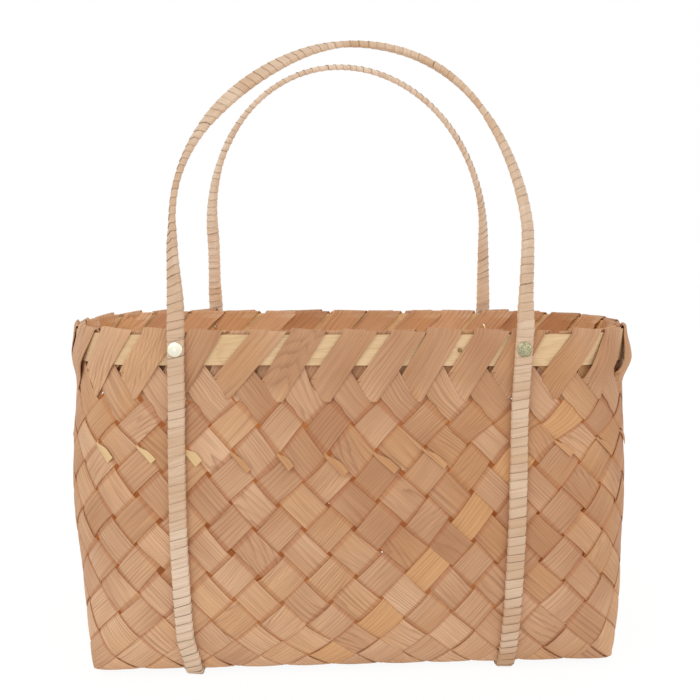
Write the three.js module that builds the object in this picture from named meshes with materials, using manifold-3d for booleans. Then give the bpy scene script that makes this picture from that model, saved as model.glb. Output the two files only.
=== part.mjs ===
// Woven planter bag: a plaited splint basket on a rectangular base, bound at the rim by two laths with
// the splint ends folded over them, carried by two straps and two arched handles. Millimetres, +Z up.
// The front faces -Y, and the bag stands on the flat undersides of its straps at z = 0.
import * as THREE from "three";
import { mergeVertices } from "three/addons/utils/BufferGeometryUtils.js";
import Module from "manifold-3d";

// Basket body, outside sizes. The wall is two splints thick.
const BASE_LENGTH = 418;
const BASE_DEPTH = 190;
const BASE_CORNER_RADIUS = 6;
const BELLY_LENGTH = 488;
const BELLY_LENGTH_HEIGHT = 180;
const BELLY_DEPTH = 222;
const BELLY_DEPTH_HEIGHT = 92;
const BELLY_CORNER_RADIUS = 88;
const RIM_LENGTH = 484;
const RIM_DEPTH = 182;
const RIM_CORNER_RADIUS = 80;
const BODY_HEIGHT = 268;
const WALL = 1.6;
const LENGTH_SPREAD = 2.6;
const DEPTH_SPREAD = 3;
const CORNER_SPREAD = 2;

// Splints: half of their ends turn outwards over the rim.
const FOLD_COUNT = 32;
const FOLD_WIDTH = 29;
const FOLD_THICKNESS = 0.8;
const FOLD_LEAN = 0.72;
const FOLD_LEAD = 0.93;
const FOLD_DROP = 44;
const FOLD_TIP = 1.5;
const FOLD_BEND = 0.5;

// Rim bands: laths with lapped ends, one outside the wall and one inside it.
const BAND_HEIGHT = 25;
const BAND_THICKNESS = 1.5;
const BAND_LAP = 36;
const BAND_SCARF = 0.35;
const BAND_STEP = 1.5;
const BAND_BELOW_RIM = 1;
const NECK_BELOW_BAND = 1;

// Straps and handles: flat cores wound with thin splint.
const STRAP_WIDTH = 14;
const STRAP_THICKNESS = 5.5;
const STRAP_EDGE = 1.3;
const STRAP_SPACING_RIM = 277;
const STRAP_SPACING_BASE = 256;
const STRAP_SETTLE = 34;
const FLEX_ABOVE_RIM = 7;
const ARCH_WIDTH = 288.5;
const ARCH_SHOULDER_RISE = 78;
const FRONT_ARCH_RISE = 236;
const BACK_ARCH_RISE = 243;
const FRONT_LEAN_DEG = 9.5;
const BACK_LEAN_DEG = 13.5;
const TWIST_LENGTH = 150;

// Nails.
const NAIL_HEAD = 12;
const NAIL_DOME = 1.9;
const NAIL_SHANK = 2;
const NAIL_CLINCH = 7;
const NAIL_BELOW_RIM = 12;
const BAND_NAIL_GAP = 3;
const BAND_NAIL_HEAD = 3.6;
const BAND_NAIL_DOME = 0.8;
const BAND_NAIL_SHANK = 1.2;
const BAND_NAIL_CLINCH = 3;

// Clearances.
const SEAT = 0.3;
const HOLE_CLEARANCE = 0.3;

// Fineness of the surfaces.
const PLAN_STEPS = 64;
const WALL_STEPS = 13;
const FOLD_STEPS = 3;
const ROUND_STEPS = 12;
const LEG_STEPS = 10;
const ARCH_STEPS = 40;

const wasm = await Module();
wasm.setup();

const BASE_Z = STRAP_THICKNESS + SEAT;
const RIM_Z = BASE_Z + BODY_HEIGHT;
const BAND_TOP = RIM_Z - BAND_BELOW_RIM;
const BAND_BOTTOM = BAND_TOP - BAND_HEIGHT;
const NECK_HEIGHT = BAND_BOTTOM - NECK_BELOW_BAND - BASE_Z;
const FOLD_TIP_Z = RIM_Z - FOLD_DROP;
const NAIL_Z = RIM_Z - NAIL_BELOW_RIM;
const FLEX_Z = RIM_Z + FLEX_ABOVE_RIM;
const STRAP_HALF = STRAP_THICKNESS / 2;

// Distances outwards from the wall: band, then folded ends, then strap.
const BAND_IN = SEAT;
const FOLD_IN = BAND_IN + BAND_THICKNESS + 2 * SEAT;
const STRAP_IN = FOLD_IN + FOLD_THICKNESS + SEAT;
const INNER_BAND_IN = -WALL - 2 * SEAT - BAND_THICKNESS;

const wood = (color, roughness) => new THREE.MeshStandardMaterial({ color, roughness, metalness: 0 });
const splintWood = wood(0xc69a72, 0.72);
const foldWood = wood(0xcda27b, 0.7);
const lathWood = wood(0xddc091, 0.6);
const windingWood = wood(0xe2c6a4, 0.68);
const brass = new THREE.MeshStandardMaterial({ color: 0xd9c98a, roughness: 0.32, metalness: 1 });

const bag = new THREE.Group();
bag.name = "woven_planter_bag";

function addPiece(name, geometry, material) {
  const mesh = new THREE.Mesh(geometry, material);
  mesh.name = name;
  bag.add(mesh);
  return mesh;
}

// A closed geometry from corner points and triangles, turned to face outwards.
function closedGeometry(points, triangles) {
  let volume = 0;
  for (const [a, b, c] of triangles) {
    volume += points[a].dot(new THREE.Vector3().crossVectors(points[b], points[c]));
  }
  const index = triangles.flatMap(([a, b, c]) => (volume > 0 ? [a, b, c] : [a, c, b]));
  const geometry = new THREE.BufferGeometry().setFromPoints(points);
  geometry.setIndex(index);
  geometry.computeVertexNormals();
  return geometry;
}

// A solid through a row of closed rings with equal counts, its ends closed to their centres.
function loft(rings) {
  const count = rings[0].length;
  const points = rings.flat();
  const triangles = [];
  for (let i = 0; i < rings.length - 1; i++) {
    for (let j = 0; j < count; j++) {
      const k = (j + 1) % count;
      const [a, b, c, d] = [i * count + j, i * count + k, (i + 1) * count + k, (i + 1) * count + j];
      triangles.push([a, b, c], [a, c, d]);
    }
  }
  const centre = (ring) => {
    return ring.reduce((sum, p) => sum.add(p), new THREE.Vector3()).divideScalar(count);
  };
  const first = points.push(centre(rings[0])) - 1;
  const last = points.push(centre(rings[rings.length - 1])) - 1;
  const start = (rings.length - 1) * count;
  for (let j = 0; j < count; j++) {
    const k = (j + 1) % count;
    triangles.push([first, k, j], [last, start + j, start + k]);
  }
  return closedGeometry(points, triangles);
}

// A solid between two sheets of points, [row][column], closed along their four borders.
function slab(under, over) {
  const rows = under.length;
  const columns = under[0].length;
  const points = [...under.flat(), ...over.flat()];
  const at = (side, i, j) => side * rows * columns + i * columns + j;
  const triangles = [];
  const quad = (a, b, c, d) => triangles.push([a, b, c], [a, c, d]);
  for (let i = 0; i < rows - 1; i++) {
    for (let j = 0; j < columns - 1; j++) {
      quad(at(0, i, j), at(0, i + 1, j), at(0, i + 1, j + 1), at(0, i, j + 1));
      quad(at(1, i, j), at(1, i, j + 1), at(1, i + 1, j + 1), at(1, i + 1, j));
    }
  }
  for (let j = 0; j < columns - 1; j++) {
    quad(at(0, 0, j), at(0, 0, j + 1), at(1, 0, j + 1), at(1, 0, j));
    quad(at(0, rows - 1, j + 1), at(0, rows - 1, j), at(1, rows - 1, j), at(1, rows - 1, j + 1));
  }
  for (let i = 0; i < rows - 1; i++) {
    quad(at(0, i + 1, 0), at(0, i, 0), at(1, i, 0), at(1, i + 1, 0));
    quad(at(0, i, columns - 1), at(0, i + 1, columns - 1), at(1, i + 1, columns - 1), at(1, i, columns - 1));
  }
  return closedGeometry(points, triangles);
}

function solidOf(geometry) {
  const bare = geometry.clone();
  for (const name of Object.keys(bare.attributes)) {
    if (name !== "position") bare.deleteAttribute(name);
  }
  const merged = mergeVertices(bare, 1e-4);
  return new wasm.Manifold(
    new wasm.Mesh({
      numProp: 3,
      vertProperties: merged.attributes.position.array,
      triVerts: new Uint32Array(merged.index.array),
    }),
  );
}

function cut(geometry, tools) {
  let solid = solidOf(geometry);
  for (const tool of tools) solid = solid.subtract(solidOf(tool));
  const mesh = solid.getMesh();
  const result = new THREE.BufferGeometry();
  result.setAttribute("position", new THREE.BufferAttribute(mesh.vertProperties, 3));
  result.setIndex(new THREE.BufferAttribute(mesh.triVerts, 1));
  result.computeVertexNormals();
  return result;
}

const mix = (a, b, t) => a + (b - a) * t;
const smooth = (t) => t * t * (3 - 2 * t);
const spread = (t, power) => 1 - Math.pow(1 - Math.min(t, 1), power);

// Size of the body at a height above its base: it spreads from base to belly, then draws in to the neck,
// above which the bands hold it straight.
function sizeAt(height, base, belly, rim, bellyHeight, power) {
  if (height <= bellyHeight) return mix(base, belly, spread(height / bellyHeight, power));
  return mix(belly, rim, smooth(Math.min((height - bellyHeight) / (NECK_HEIGHT - bellyHeight), 1)));
}

// Outline of the body at a height above its base: a rounded rectangle.
function outlineAt(height) {
  const length = sizeAt(height, BASE_LENGTH, BELLY_LENGTH, RIM_LENGTH, BELLY_LENGTH_HEIGHT, LENGTH_SPREAD);
  const depth = sizeAt(height, BASE_DEPTH, BELLY_DEPTH, RIM_DEPTH, BELLY_DEPTH_HEIGHT, DEPTH_SPREAD);
  const wanted = sizeAt(
    height, BASE_CORNER_RADIUS, BELLY_CORNER_RADIUS, RIM_CORNER_RADIUS, BELLY_DEPTH_HEIGHT, CORNER_SPREAD,
  );
  const radius = Math.min(wanted, depth / 2, length / 2);
  const straight = length - 2 * radius;
  const side = depth - 2 * radius;
  const arc = (Math.PI / 2) * radius;
  return { length, depth, radius, straight, side, arc, round: 2 * (straight + side) + 4 * arc };
}

// A point of that outline at a share of its way round, from the middle of the front, seen from above
// anticlockwise, and the direction out of the wall there.
function outlinePoint(outline, share) {
  const { length, depth, radius, straight, side, arc, round } = outline;
  const runs = [straight / 2, arc, side, arc, straight, arc, side, arc, straight / 2];
  let way = (share - Math.floor(share)) * round;
  let run = 0;
  while (run < runs.length - 1 && way > runs[run]) {
    way -= runs[run];
    run += 1;
  }
  const [x, y] = [length / 2 - radius, depth / 2 - radius];
  const corner = (cx, cy, start) => {
    const angle = start + way / Math.max(radius, 1e-6);
    const [nx, ny] = [Math.cos(angle), Math.sin(angle)];
    return { x: cx + radius * nx, y: cy + radius * ny, nx, ny };
  };
  const faces = [
    () => ({ x: way, y: -depth / 2, nx: 0, ny: -1 }),
    () => corner(x, -y, -Math.PI / 2),
    () => ({ x: length / 2, y: -y + way, nx: 1, ny: 0 }),
    () => corner(x, y, 0),
    () => ({ x: x - way, y: depth / 2, nx: 0, ny: 1 }),
    () => corner(-x, y, Math.PI / 2),
    () => ({ x: -length / 2, y: y - way, nx: -1, ny: 0 }),
    () => corner(-x, -y, Math.PI),
    () => ({ x: -x + way, y: -depth / 2, nx: 0, ny: -1 }),
  ];
  return faces[run]();
}

// A point at a distance out of the wall.
function wallPoint(z, share, out) {
  const p = outlinePoint(outlineAt(z - BASE_Z), share);
  return new THREE.Vector3(p.x + p.nx * out, p.y + p.ny * out, z);
}

const rimRound = outlineAt(BODY_HEIGHT).round;

// Heights of the wall's rings, closer together where it turns up from the base.
const wallHeights = Array.from({ length: WALL_STEPS + 1 }, (_, i) => {
  return NECK_HEIGHT * Math.pow(i / WALL_STEPS, 1.35);
});
wallHeights.push(BODY_HEIGHT);

function wallRing(z, out) {
  return Array.from({ length: PLAN_STEPS }, (_, i) => wallPoint(z, i / PLAN_STEPS, out));
}

// Nails: a low dome, a shank and a point clinched flat against what it comes out of. place gives the
// underside of the head, and out the direction that the head faces.
function nailGeometry(place, out, headSize, dome, shankSize, grip, clinch) {
  const up = new THREE.Vector3(0, 0, 1);
  const across = new THREE.Vector3().crossVectors(up, out);
  const ring = (depth, radius, lift = 0, turn = 0) => {
    const centre = place.clone().addScaledVector(out, -depth).addScaledVector(up, lift);
    const lean = out.clone().multiplyScalar(Math.sin(turn)).addScaledVector(up, Math.cos(turn));
    return Array.from({ length: ROUND_STEPS }, (_, i) => {
      const angle = (2 * Math.PI * i) / ROUND_STEPS;
      return centre.clone()
        .addScaledVector(across, radius * Math.cos(angle))
        .addScaledVector(lean, radius * Math.sin(angle));
    });
  };
  const shank = shankSize / 2;
  const rings = [];
  for (const angle of [80, 55, 30, 8]) {
    const bend = THREE.MathUtils.degToRad(angle);
    rings.push(ring(-dome * Math.sin(bend), (headSize / 2) * Math.cos(bend)));
  }
  rings.push(ring(0, headSize / 2));
  rings.push(ring(0, shank));
  rings.push(ring(grip, shank));
  rings.push(ring(grip + shank, shank, shank * 0.4, Math.PI / 4));
  rings.push(ring(grip + shank, shank, shank * 1.6, Math.PI / 2));
  rings.push(ring(grip + shank * 0.3, shank * 0.3, clinch, Math.PI / 2));
  return loft(rings);
}

// A hole for a nail's shank, along Y at a place in the wall.
function nailHole(x, z, y, shankSize) {
  const hole = new THREE.CylinderGeometry(
    shankSize / 2 + HOLE_CLEARANCE, shankSize / 2 + HOLE_CLEARANCE, 40, ROUND_STEPS,
  );
  hole.translate(x, y, z);
  return hole;
}

// Where a strap crosses a height: it closes in towards the base.
const strapSpread = (z) => mix(STRAP_SPACING_BASE, STRAP_SPACING_RIM, z / RIM_Z) / 2;
const strapWall = outlineAt(BODY_HEIGHT).depth / 2;
const strapY = strapWall + STRAP_IN + STRAP_HALF;

const nailPlaces = [];
for (const [end, facing] of [["front", -1], ["back", 1]]) {
  for (const [hand, side] of [["left", -1], ["right", 1]]) {
    nailPlaces.push({ name: `nail_${end}_${hand}`, facing, side });
  }
}
const strapHoles = nailPlaces.map(({ facing, side }) => {
  return nailHole(side * strapSpread(NAIL_Z), NAIL_Z, facing * strapWall, NAIL_SHANK);
});
const foldPitch = rimRound / FOLD_COUNT;
const foldMiddle = (i) => (i - FOLD_LEAD) * foldPitch;
const bandNailX = foldMiddle(BAND_NAIL_GAP + 0.5) - FOLD_LEAN * NAIL_BELOW_RIM;
const bandNailHole = nailHole(bandNailX, NAIL_Z, -strapWall, BAND_NAIL_SHANK);
const rimHoles = [...strapHoles, bandNailHole];

// Body: base and wall as one shell, the outside first and then the inside down to the base.
const outside = wallHeights.map((height) => wallRing(BASE_Z + height, 0));
const inside = wallHeights.map((height) => wallRing(BASE_Z + Math.max(height, WALL), -WALL)).reverse();
addPiece("woven_body", cut(loft([...outside, ...inside]), rimHoles), splintWood);

// A rim band: a lath bent round the wall. Its ends lap and are scarfed, so that the lap is hardly thicker
// than the lath: the head lies on the wall, and the tail on the head.
function bandGeometry(out, lapCentre) {
  const lap = BAND_LAP / rimRound;
  const step = BAND_STEP / rimRound;
  const start = lapCentre / rimRound - lap / 2;
  const marks = [0, lap, lap + step, 1 - step, 1, 1 + lap];
  for (let i = 0; i < 2 * PLAN_STEPS; i++) {
    const way = i / PLAN_STEPS - start;
    if (way > 0 && way < 1 + lap && marks.every((mark) => Math.abs(mark - way) > 0.001)) marks.push(way);
  }
  marks.sort((a, b) => a - b);
  const thin = BAND_THICKNESS * BAND_SCARF;
  const slope = (way) => mix(thin, BAND_THICKNESS - thin, way / lap);
  const edges = marks.map((way) => {
    if (way <= lap) return { way, under: 0, over: slope(way) };
    if (way < 1) return { way, under: 0, over: BAND_THICKNESS };
    return { way, under: slope(way - 1) + SEAT, over: BAND_THICKNESS + SEAT };
  });
  const sheet = (face) => [BAND_BOTTOM, BAND_TOP].map((z) => {
    return edges.map((edge) => wallPoint(z, start + edge.way, out + edge[face]));
  });
  return slab(sheet("under"), sheet("over"));
}
addPiece("outer_rim_band", cut(bandGeometry(BAND_IN, bandNailX), rimHoles), lathWood);
addPiece("inner_rim_band", cut(bandGeometry(INNER_BAND_IN, -bandNailX), rimHoles), lathWood);

// Folded splint ends: each turns over the top of the outer band, leans down its face and comes to a
// point below it, where the body's outer splints hold it. Rows run down the fold, columns across it.
function foldGeometry(middle) {
  const top = RIM_Z + SEAT;
  const half = FOLD_WIDTH / 2;
  const outer = FOLD_IN + FOLD_THICKNESS;
  const shoulder = FOLD_IN - FOLD_BEND;
  const low = RIM_Z - BAND_BOTTOM;
  const tip = half - FOLD_LEAN * FOLD_DROP;
  const rows = [
    { left: -half, right: half, under: [-WALL, top], over: [-WALL, top + FOLD_THICKNESS] },
    { left: -half, right: half, under: [shoulder, top], over: [shoulder, top + FOLD_THICKNESS] },
    { left: -half, right: half, under: [FOLD_IN, top - FOLD_BEND], over: [outer, top - FOLD_BEND] },
    {
      left: -half - FOLD_LEAN * low, right: half - FOLD_LEAN * low,
      under: [FOLD_IN, BAND_BOTTOM], over: [outer, BAND_BOTTOM],
    },
    {
      left: tip - FOLD_TIP, right: tip,
      under: [2 * SEAT, FOLD_TIP_Z], over: [2 * SEAT + FOLD_THICKNESS, FOLD_TIP_Z],
    },
  ];
  const sheet = (face) => rows.map((row) => {
    const [out, z] = row[face];
    return Array.from({ length: FOLD_STEPS + 1 }, (_, j) => {
      const way = middle + mix(row.left, row.right, j / FOLD_STEPS);
      const p = outlinePoint(outlineAt(Math.min(z - BASE_Z, BODY_HEIGHT)), way / rimRound);
      return new THREE.Vector3(p.x + p.nx * out, p.y + p.ny * out, z);
    });
  });
  return slab(sheet("under"), sheet("over"));
}
for (let i = 0; i < FOLD_COUNT; i++) {
  const name = `splint_end_${String(i + 1).padStart(2, "0")}`;
  addPiece(name, cut(foldGeometry(foldMiddle(i)), strapHoles), foldWood);
}

// Section of a strap, a flat bar with eased edges: [across, from its inner face outwards].
const strapSection = [
  [-STRAP_WIDTH / 2 + STRAP_EDGE, 0],
  [STRAP_WIDTH / 2 - STRAP_EDGE, 0],
  [STRAP_WIDTH / 2, STRAP_EDGE],
  [STRAP_WIDTH / 2, STRAP_THICKNESS - STRAP_EDGE],
  [STRAP_WIDTH / 2 - STRAP_EDGE, STRAP_THICKNESS],
  [-STRAP_WIDTH / 2 + STRAP_EDGE, STRAP_THICKNESS],
  [-STRAP_WIDTH / 2, STRAP_THICKNESS - STRAP_EDGE],
  [-STRAP_WIDTH / 2, STRAP_EDGE],
];

// How far a strap lies off the wall: it passes over bands and folds, then settles on the weave.
function strapLift(z) {
  const start = FOLD_TIP_Z - STRAP_SETTLE;
  const share = Math.min(Math.max((z - start) / (BAND_BOTTOM - start), 0), 1);
  return mix(SEAT, STRAP_IN, smooth(share));
}

// The way of a strap down one side, from its flex line to under the base edge: distance from the
// middle plane, height, and the direction out of the wall.
function strapSide() {
  const wall = [...wallHeights].reverse().map((height) => {
    return new THREE.Vector2(outlineAt(height).depth / 2, BASE_Z + height);
  });
  const stations = [FLEX_Z, RIM_Z, BAND_BOTTOM].map((z) => {
    return { at: new THREE.Vector2(strapWall, z), out: new THREE.Vector2(1, 0), lift: STRAP_IN };
  });
  const facing = (a, b) => new THREE.Vector2(a.y - b.y, b.x - a.x).normalize();
  for (let i = 1; i < wall.length - 1; i++) {
    const above = facing(wall[i - 1], wall[i]);
    const below = facing(wall[i], wall[i + 1]);
    const out = above.clone().add(below).normalize();
    stations.push({ at: wall[i], out: out.divideScalar(out.dot(above)), lift: strapLift(wall[i].y) });
  }
  const edge = wall[wall.length - 1];
  const last = facing(wall[wall.length - 2], edge);
  const turn = Math.atan2(last.y, last.x);
  for (let i = 0; i <= 4; i++) {
    const angle = mix(turn, -Math.PI / 2, i / 4);
    stations.push({ at: edge, out: new THREE.Vector2(Math.cos(angle), Math.sin(angle)), lift: SEAT });
  }
  return stations;
}

// A strap: down the front, under the base and up the back. Its ends are hollowed round the flex line.
function strapGeometry(side) {
  const stations = strapSide();
  const ring = (facing) => ({ at, out, lift }) => strapSection.map(([across, thick]) => {
    const [y, z] = [at.x + out.x * (lift + thick), at.y + out.y * (lift + thick)];
    return new THREE.Vector3(side * strapSpread(Math.max(at.y, 0)) + across, facing * y, z);
  });
  const rings = [...stations.map(ring(-1)), ...stations.reverse().map(ring(1))];
  const flexCuts = [-1, 1].map((facing) => {
    const tool = new THREE.CylinderGeometry(STRAP_HALF + SEAT, STRAP_HALF + SEAT, 2 * STRAP_WIDTH, 36);
    tool.rotateZ(Math.PI / 2);
    tool.translate(side * strapSpread(FLEX_Z), facing * strapY, FLEX_Z);
    return tool;
  });
  return cut(loft(rings), [...strapHoles, ...flexCuts]);
}
addPiece("strap_left", strapGeometry(-1), windingWood);
addPiece("strap_right", strapGeometry(1), windingWood);

// A handle: two legs that open to the shoulders and half an ellipse between them, in a plane that leans
// inwards. The strap faces front at the flex line and twists a quarter turn to lie flat on the arch.
function handleGeometry(facing, rise, leanDeg) {
  const lean = THREE.MathUtils.degToRad(leanDeg);
  const up = new THREE.Vector3(0, -facing * Math.sin(lean), Math.cos(lean));
  const front = new THREE.Vector3(0, facing * Math.cos(lean), Math.sin(lean));
  const foot = new THREE.Vector3(0, facing * strapY, FLEX_Z);
  const start = strapSpread(FLEX_Z);
  const way = [];
  for (let i = 0; i < LEG_STEPS; i++) {
    const share = i / LEG_STEPS;
    way.push(new THREE.Vector2(-mix(start, ARCH_WIDTH / 2, smooth(share)), ARCH_SHOULDER_RISE * share));
  }
  for (let i = 0; i <= ARCH_STEPS / 2; i++) {
    const angle = (Math.PI * i) / ARCH_STEPS;
    const arch = (rise - ARCH_SHOULDER_RISE) * Math.sin(angle);
    way.push(new THREE.Vector2((-ARCH_WIDTH / 2) * Math.cos(angle), ARCH_SHOULDER_RISE + arch));
  }
  for (let i = way.length - 2; i >= 0; i--) way.push(new THREE.Vector2(-way[i].x, way[i].y));
  const lengths = [0];
  for (let i = 1; i < way.length; i++) lengths.push(lengths[i - 1] + way[i].distanceTo(way[i - 1]));
  const total = lengths[lengths.length - 1];
  const ring = (place, along, turn, half) => {
    const side = new THREE.Vector3(along.y, 0, 0).addScaledVector(up, -along.x);
    const wide = side.clone().multiplyScalar(Math.cos(turn)).addScaledVector(front, Math.sin(turn));
    const thin = side.clone().multiplyScalar(-Math.sin(turn)).addScaledVector(front, Math.cos(turn));
    const centre = foot.clone().addScaledVector(up, place.y).setX(place.x);
    return strapSection.map(([across, thick]) => {
      const share = (thick - STRAP_HALF) / STRAP_HALF;
      return centre.clone().addScaledVector(wide, across).addScaledVector(thin, share * half);
    });
  };
  const rings = way.map((place, i) => {
    const [before, after] = [way[Math.max(i - 1, 0)], way[Math.min(i + 1, way.length - 1)]];
    const along = after.clone().sub(before).normalize();
    if (i === 0) along.set(0, 1);
    if (i === way.length - 1) along.set(0, -1);
    const near = Math.min(lengths[i], total - lengths[i], TWIST_LENGTH);
    return ring(place, along, (Math.PI / 2) * smooth(near / TWIST_LENGTH), STRAP_HALF);
  });
  const rounded = (place, along) => [75, 50, 25].map((angle) => {
    const bend = THREE.MathUtils.degToRad(angle);
    const end = place.clone().setY(place.y - STRAP_HALF * Math.sin(bend));
    return ring(end, along, 0, STRAP_HALF * Math.cos(bend));
  });
  const [left, right] = [way[0], way[way.length - 1]];
  const leftEnd = rounded(left, new THREE.Vector2(0, 1));
  const rightEnd = rounded(right, new THREE.Vector2(0, -1)).reverse();
  return loft([...leftEnd, ...rings, ...rightEnd]);
}
addPiece("handle_front", handleGeometry(-1, FRONT_ARCH_RISE, FRONT_LEAN_DEG), windingWood);
addPiece("handle_back", handleGeometry(1, BACK_ARCH_RISE, BACK_LEAN_DEG), windingWood);

// Nails through straps, bands and wall, clinched on the inner band.
const clinchIn = -INNER_BAND_IN + SEAT;
const strapFace = STRAP_IN + STRAP_THICKNESS + SEAT;
for (const { name, facing, side } of nailPlaces) {
  const place = new THREE.Vector3(side * strapSpread(NAIL_Z), facing * (strapWall + strapFace), NAIL_Z);
  const out = new THREE.Vector3(0, facing, 0);
  const grip = strapFace + clinchIn;
  addPiece(name, nailGeometry(place, out, NAIL_HEAD, NAIL_DOME, NAIL_SHANK, grip, NAIL_CLINCH), brass);
}
const bandFace = BAND_IN + BAND_THICKNESS + 2 * SEAT;
addPiece(
  "band_nail",
  nailGeometry(
    new THREE.Vector3(bandNailX, -strapWall - bandFace, NAIL_Z), new THREE.Vector3(0, -1, 0),
    BAND_NAIL_HEAD, BAND_NAIL_DOME, BAND_NAIL_SHANK, bandFace + clinchIn, BAND_NAIL_CLINCH,
  ),
  brass,
);

export default bag;
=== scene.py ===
import bisect
import math
import random

import bpy
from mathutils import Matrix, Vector


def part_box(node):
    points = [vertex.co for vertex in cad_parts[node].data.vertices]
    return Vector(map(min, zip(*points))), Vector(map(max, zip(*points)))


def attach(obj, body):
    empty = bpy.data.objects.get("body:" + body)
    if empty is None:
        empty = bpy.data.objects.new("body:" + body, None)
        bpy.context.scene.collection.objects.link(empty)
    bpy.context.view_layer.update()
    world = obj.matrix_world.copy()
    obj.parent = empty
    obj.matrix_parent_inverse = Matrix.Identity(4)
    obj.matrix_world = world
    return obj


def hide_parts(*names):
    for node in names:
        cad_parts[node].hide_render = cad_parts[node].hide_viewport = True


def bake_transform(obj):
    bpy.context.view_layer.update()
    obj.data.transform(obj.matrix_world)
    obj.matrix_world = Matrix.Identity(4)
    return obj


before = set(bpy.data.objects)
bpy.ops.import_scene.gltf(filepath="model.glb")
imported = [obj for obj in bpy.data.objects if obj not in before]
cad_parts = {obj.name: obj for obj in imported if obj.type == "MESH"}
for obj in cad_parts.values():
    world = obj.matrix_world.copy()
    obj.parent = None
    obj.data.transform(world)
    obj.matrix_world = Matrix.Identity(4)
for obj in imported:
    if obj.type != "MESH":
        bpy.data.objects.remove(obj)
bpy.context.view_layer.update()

# The view: from just left of the bag's middle and above its rim, looking almost level, with the frame
# shifted down to the bag. It is fitted to the nails, rim, arches and base corners of the photograph.
camera_data = bpy.data.cameras.new("photo_camera")
camera_data.lens = 40.0
camera_data.shift_y = -0.1225
camera_data.clip_end = 20
camera = bpy.data.objects.new("photo_camera", camera_data)
bpy.context.scene.collection.objects.link(camera)
bpy.context.scene.camera = camera
camera.location = (-0.0045, -0.7138, 0.348)
camera.rotation_euler = (math.radians(90 - 1.73), 0, math.radians(-0.32))

# The studio: soft even light from all round, one broad lamp from the upper left and one from the right,
# and a faint warm glow inside the bag for the light that comes through its thin wood. The camera sees
# the room and nearly all of the floor as white.
def feed(node, inputs):
    """Give inputs of a node, by name or number, a value or a link."""
    for key, value in dict(inputs).items():
        value = getattr(value, "socket", value)
        if isinstance(value, bpy.types.NodeSocket):
            node.id_data.links.new(value, node.inputs[key])
        else:
            node.inputs[key].default_value = value


def add_node(tree, kind, settings=(), inputs=()):
    """A node with its settings, and its inputs as values, links or Signals."""
    node = tree.nodes.new(kind)
    for key, value in dict(settings).items():
        setattr(node, key, value)
    feed(node, inputs)
    return node


def add_object(name, data, *materials):
    """An object in the scene, at the origin, with its materials."""
    made = bpy.data.objects.new(name, data)
    bpy.context.scene.collection.objects.link(made)
    for material in materials:
        data.materials.append(material)
    return made


WHITE = (1, 1, 1, 1)
ROOM_COLOUR = (1, 0.985, 0.965, 1)
ROOM_STRENGTH = 0.76
FLOOR_COLOUR = (0.94, 0.935, 0.93, 1)
FLOOR_SHINE = 1.04
FLOOR_VEIL = 0.9
FLOOR_HALF = 6
LAMP_SIZE = 1.2
LAMP_AIM = Vector((0, 0, 0.2))

bpy.context.scene.view_settings.view_transform = "Standard"
world = bpy.data.worlds.new("white_room")
bpy.context.scene.world = world
world.use_nodes = True
air = world.node_tree
air.nodes.clear()
room = add_node(air, "ShaderNodeBackground", inputs={"Color": ROOM_COLOUR, "Strength": ROOM_STRENGTH})
backdrop = add_node(air, "ShaderNodeBackground", inputs={"Color": WHITE})
rays = add_node(air, "ShaderNodeLightPath").outputs
seen = add_node(air, "ShaderNodeMath", {"operation": "MAXIMUM"},
                {0: rays["Is Camera Ray"], 1: rays["Is Glossy Ray"]})
view = add_node(air, "ShaderNodeMixShader",
                inputs={0: seen.outputs[0], 1: room.outputs[0], 2: backdrop.outputs[0]})
add_node(air, "ShaderNodeOutputWorld", inputs={"Surface": view.outputs[0]})

for name, place, power in (("key_lamp", (-1.1, -1.5, 1.7), 9), ("fill_lamp", (1.5, -1.2, 0.9), 4)):
    lamp = bpy.data.lights.new(name, "AREA")
    lamp.shape = "SQUARE"
    lamp.size = LAMP_SIZE
    lamp.energy = power
    holder = add_object(name, lamp)
    holder.location = place
    holder.rotation_euler = (LAMP_AIM - Vector(place)).to_track_quat("-Z", "Y").to_euler()

for x in (-0.11, 0.11):
    glow = bpy.data.lights.new("inside_glow", "POINT")
    glow.energy = 0.18
    glow.color = (1, 0.84, 0.4)
    glow.shadow_soft_size = 0.05
    holder = add_object("inside_glow", glow)
    holder.location = (x, 0, 0.15)
    holder.visible_camera = False

floor_paint = bpy.data.materials.new("white_floor")
floor_paint.use_nodes = True
ground = floor_paint.node_tree
ground.nodes.clear()
matte = add_node(ground, "ShaderNodeBsdfDiffuse", inputs={"Color": FLOOR_COLOUR})
shine = add_node(ground, "ShaderNodeEmission", inputs={"Color": WHITE, "Strength": FLOOR_SHINE})
rays = add_node(ground, "ShaderNodeLightPath").outputs
veil = add_node(ground, "ShaderNodeMath", {"operation": "MULTIPLY"},
                {0: rays["Is Camera Ray"], 1: FLOOR_VEIL})
cover = add_node(ground, "ShaderNodeMixShader",
                 inputs={0: veil.outputs[0], 1: matte.outputs[0], 2: shine.outputs[0]})
add_node(ground, "ShaderNodeOutputMaterial", inputs={"Surface": cover.outputs[0]})
floor_mesh = bpy.data.meshes.new("floor")
corners = [(x * FLOOR_HALF, y * FLOOR_HALF, 0) for x, y in ((-1, -1), (1, -1), (1, 1), (-1, 1))]
floor_mesh.from_pydata(corners, [], [(0, 1, 2, 3)])
floor = add_object("floor", floor_mesh, floor_paint)

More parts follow.
